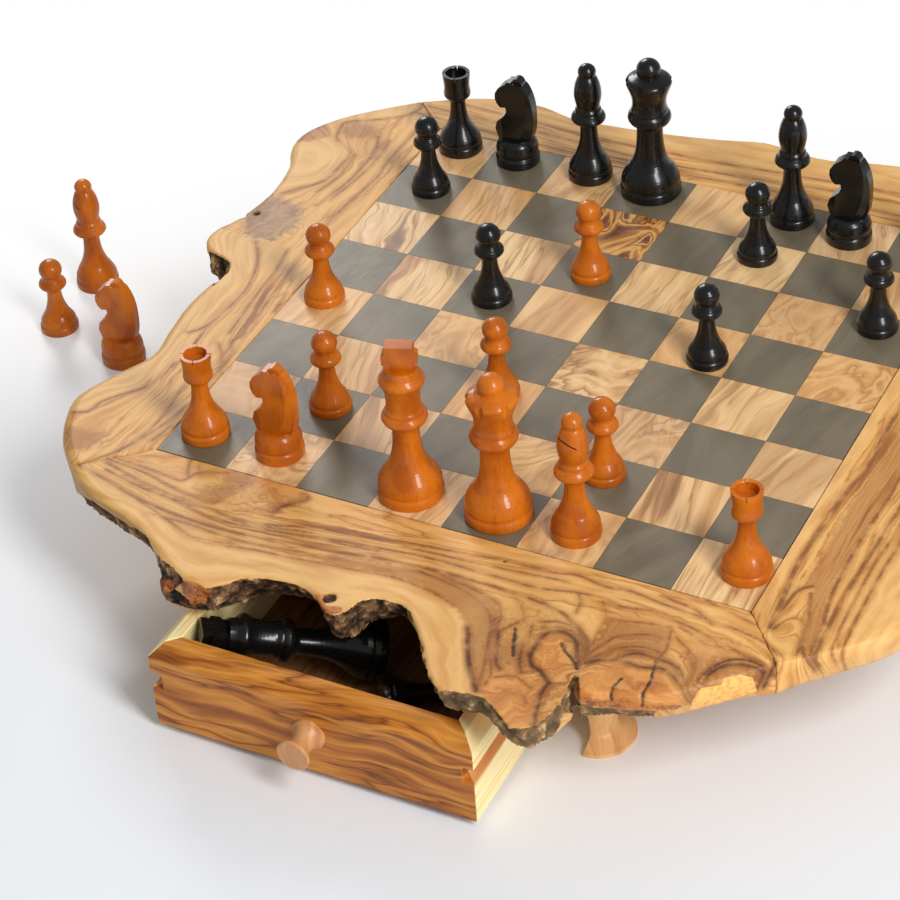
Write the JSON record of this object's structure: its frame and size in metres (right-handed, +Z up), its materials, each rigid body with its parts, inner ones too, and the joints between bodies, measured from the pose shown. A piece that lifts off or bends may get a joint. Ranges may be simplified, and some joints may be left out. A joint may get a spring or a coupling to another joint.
{
  "type": "chess box with drawers",
  "caption": "Live-edge wooden chess board on turned feet, with a storage drawer at the front and the back and its turned men.",
  "frame": {"origin": "centre of the playing field, on the playing surface, which is 80 mm above the table", "axes": "+X to the right and +Y to the back for the player who sits at the open drawer, +Z up, out of the playing surface"},
  "size_m": [0.5962, 0.503, 0.17],
  "materials": {
    "olive_wood": "oiled, satin",
    "light_square_wood": "oiled, satin",
    "dark_square_wood": "grey-brown stain, satin",
    "panel_wood": "raw",
    "case_wood": "oiled, matt",
    "drawer_front_wood": "oiled, satin",
    "pine": "raw, sanded",
    "drawer_bottom_wood": "raw",
    "turned_olive": "oiled, satin",
    "brown_lacquer": "orange-brown stain under satin lacquer",
    "black_lacquer": "black stain under gloss lacquer"
  },
  "bodies": {
    "board": {"base_panel": "panel_wood", "light_squares": "light_square_wood", "dark_squares": "dark_square_wood", "front_rail": "olive_wood", "right_rail": "olive_wood", "back_rail": "olive_wood", "left_rail": "olive_wood", "case_left_wall": "case_wood", "case_right_wall": "case_wood", "case_divider": "case_wood", "left_runners": "pine", "right_runners": "pine", "front_right_foot": "turned_olive", "front_left_foot": "turned_olive", "back_right_foot": "turned_olive", "back_left_foot": "turned_olive"},
    "front_drawer": {"front_drawer_front": "drawer_front_wood", "front_drawer_left_side": "pine", "front_drawer_right_side": "pine", "front_drawer_back": "pine", "front_drawer_bottom": "drawer_bottom_wood", "front_drawer_knob": "turned_olive"},
    "back_drawer": {"back_drawer_front": "drawer_front_wood", "back_drawer_left_side": "pine", "back_drawer_right_side": "pine", "back_drawer_back": "pine", "back_drawer_bottom": "drawer_bottom_wood", "back_drawer_knob": "turned_olive"},
    "brown_king": {"brown_king": "brown_lacquer"},
    "brown_queen": {"brown_queen": "brown_lacquer"},
    "brown_bishop_1": {"brown_bishop_1": "brown_lacquer"},
    "brown_bishop_2": {"brown_bishop_2": "brown_lacquer"},
    "brown_knight_1": {"brown_knight_1": "brown_lacquer"},
    "brown_knight_2": {"brown_knight_2": "brown_lacquer"},
    "brown_rook_1": {"brown_rook_1": "brown_lacquer"},
    "brown_rook_2": {"brown_rook_2": "brown_lacquer"},
    "brown_pawn_1": {"brown_pawn_1": "brown_lacquer"},
    "brown_pawn_2": {"brown_pawn_2": "brown_lacquer"},
    "brown_pawn_3": {"brown_pawn_3": "brown_lacquer"},
    "brown_pawn_4": {"brown_pawn_4": "brown_lacquer"},
    "brown_pawn_5": {"brown_pawn_5": "brown_lacquer"},
    "brown_pawn_6": {"brown_pawn_6": "brown_lacquer"},
    "brown_pawn_7": {"brown_pawn_7": "brown_lacquer"},
    "brown_pawn_8": {"brown_pawn_8": "brown_lacquer"},
    "black_king": {"black_king": "black_lacquer"},
    "black_queen": {"black_queen": "black_lacquer"},
    "black_bishop_1": {"black_bishop_1": "black_lacquer"},
    "black_bishop_2": {"black_bishop_2": "black_lacquer"},
    "black_knight_1": {"black_knight_1": "black_lacquer"},
    "black_knight_2": {"black_knight_2": "black_lacquer"},
    "black_rook_1": {"black_rook_1": "black_lacquer"},
    "black_rook_2": {"black_rook_2": "black_lacquer"},
    "black_pawn_1": {"black_pawn_1": "black_lacquer"},
    "black_pawn_2": {"black_pawn_2": "black_lacquer"},
    "black_pawn_3": {"black_pawn_3": "black_lacquer"},
    "black_pawn_4": {"black_pawn_4": "black_lacquer"},
    "black_pawn_5": {"black_pawn_5": "black_lacquer"},
    "black_pawn_6": {"black_pawn_6": "black_lacquer"},
    "black_pawn_7": {"black_pawn_7": "black_lacquer"},
    "black_pawn_8": {"black_pawn_8": "black_lacquer"}
  },
  "joints": [
    {"name": "front_drawer_slide", "type": "slide", "parent": "board", "child": "front_drawer", "axis": [0, -1, 0], "range_m": [-0.09, 0.035]},
    {"name": "back_drawer_slide", "type": "slide", "parent": "board", "child": "back_drawer", "axis": [0, 1, 0], "range_m": [0, 0.125]},
    {"name": "lift_brown_king", "type": "slide", "parent": "board", "child": "brown_king", "axis": [0, 0, 1], "range_m": [0, 0.12]},
    {"name": "lift_brown_queen", "type": "slide", "parent": "board", "child": "brown_queen", "axis": [0, 0, 1], "range_m": [0, 0.12]},
    {"name": "lift_brown_bishop_1", "type": "slide", "parent": "board", "child": "brown_bishop_1", "axis": [0, 0, 1], "range_m": [0, 0.12]},
    {"name": "lift_brown_bishop_2", "type": "slide", "parent": "board", "child": "brown_bishop_2", "axis": [0, 0, 1], "range_m": [0, 0.12]},
    {"name": "lift_brown_knight_1", "type": "slide", "parent": "board", "child": "brown_knight_1", "axis": [0, 0, 1], "range_m": [0, 0.12]},
    {"name": "lift_brown_knight_2", "type": "slide", "parent": "board", "child": "brown_knight_2", "axis": [0, 0, 1], "range_m": [0, 0.12]},
    {"name": "lift_brown_rook_1", "type": "slide", "parent": "board", "child": "brown_rook_1", "axis": [0, 0, 1], "range_m": [0, 0.12]},
    {"name": "lift_brown_rook_2", "type": "slide", "parent": "board", "child": "brown_rook_2", "axis": [0, 0, 1], "range_m": [0, 0.12]},
    {"name": "lift_brown_pawn_1", "type": "slide", "parent": "board", "child": "brown_pawn_1", "axis": [0, 0, 1], "range_m": [0, 0.12]},
    {"name": "lift_brown_pawn_2", "type": "slide", "parent": "board", "child": "brown_pawn_2", "axis": [0, 0, 1], "range_m": [0, 0.12]},
    {"name": "lift_brown_pawn_3", "type": "slide", "parent": "board", "child": "brown_pawn_3", "axis": [0, 0, 1], "range_m": [0, 0.12]},
    {"name": "lift_brown_pawn_4", "type": "slide", "parent": "board", "child": "brown_pawn_4", "axis": [0, 0, 1], "range_m": [0, 0.12]},
    {"name": "lift_brown_pawn_5", "type": "slide", "parent": "board", "child": "brown_pawn_5", "axis": [0, 0, 1], "range_m": [0, 0.12]},
    {"name": "lift_brown_pawn_6", "type": "slide", "parent": "board", "child": "brown_pawn_6", "axis": [0, 0, 1], "range_m": [0, 0.12]},
    {"name": "lift_brown_pawn_7", "type": "slide", "parent": "back_drawer", "child": "brown_pawn_7", "axis": [0, 0, 1], "range_m": [0, 0.02]},
    {"name": "lift_brown_pawn_8", "type": "slide", "parent": "back_drawer", "child": "brown_pawn_8", "axis": [0, 0, 1], "range_m": [0, 0.02]},
    {"name": "move_black_king", "type": "slide", "parent": "front_drawer", "child": "black_king", "axis": [0.8039, 0.5948, 0], "range_m": [0, 0.02]},
    {"name": "lift_black_queen", "type": "slide", "parent": "board", "child": "black_queen", "axis": [0, 0, 1], "range_m": [0, 0.12]},
    {"name": "lift_black_bishop_1", "type": "slide", "parent": "board", "child": "black_bishop_1", "axis": [0, 0, 1], "range_m": [0, 0.12]},
    {"name": "lift_black_bishop_2", "type": "slide", "parent": "board", "child": "black_bishop_2", "axis": [0, 0, 1], "range_m": [0, 0.12]},
    {"name": "lift_black_knight_1", "type": "slide", "parent": "board", "child": "black_knight_1", "axis": [0, 0, 1], "range_m": [0, 0.12]},
    {"name": "lift_black_knight_2", "type": "slide", "parent": "board", "child": "black_knight_2", "axis": [0, 0, 1], "range_m": [0, 0.12]},
    {"name": "lift_black_rook_1", "type": "slide", "parent": "board", "child": "black_rook_1", "axis": [0, 0, 1], "range_m": [0, 0.12]},
    {"name": "lift_black_rook_2", "type": "slide", "parent": "board", "child": "black_rook_2", "axis": [0, 0, 1], "range_m": [0, 0.12]},
    {"name": "lift_black_pawn_1", "type": "slide", "parent": "board", "child": "black_pawn_1", "axis": [0, 0, 1], "range_m": [0, 0.12]},
    {"name": "lift_black_pawn_2", "type": "slide", "parent": "board", "child": "black_pawn_2", "axis": [0, 0, 1], "range_m": [0, 0.12]},
    {"name": "lift_black_pawn_3", "type": "slide", "parent": "board", "child": "black_pawn_3", "axis": [0, 0, 1], "range_m": [0, 0.12]},
    {"name": "lift_black_pawn_4", "type": "slide", "parent": "board", "child": "black_pawn_4", "axis": [0, 0, 1], "range_m": [0, 0.12]},
    {"name": "lift_black_pawn_5", "type": "slide", "parent": "board", "child": "black_pawn_5", "axis": [0, 0, 1], "range_m": [0, 0.12]},
    {"name": "lift_black_pawn_6", "type": "slide", "parent": "front_drawer", "child": "black_pawn_6", "axis": [0, 0, 1], "range_m": [0, 0.02]},
    {"name": "lift_black_pawn_7", "type": "slide", "parent": "front_drawer", "child": "black_pawn_7", "axis": [0, 0, 1], "range_m": [0, 0.02]},
    {"name": "lift_black_pawn_8", "type": "slide", "parent": "front_drawer", "child": "black_pawn_8", "axis": [0, 0, 1], "range_m": [0, 0.02]}
  ]
}
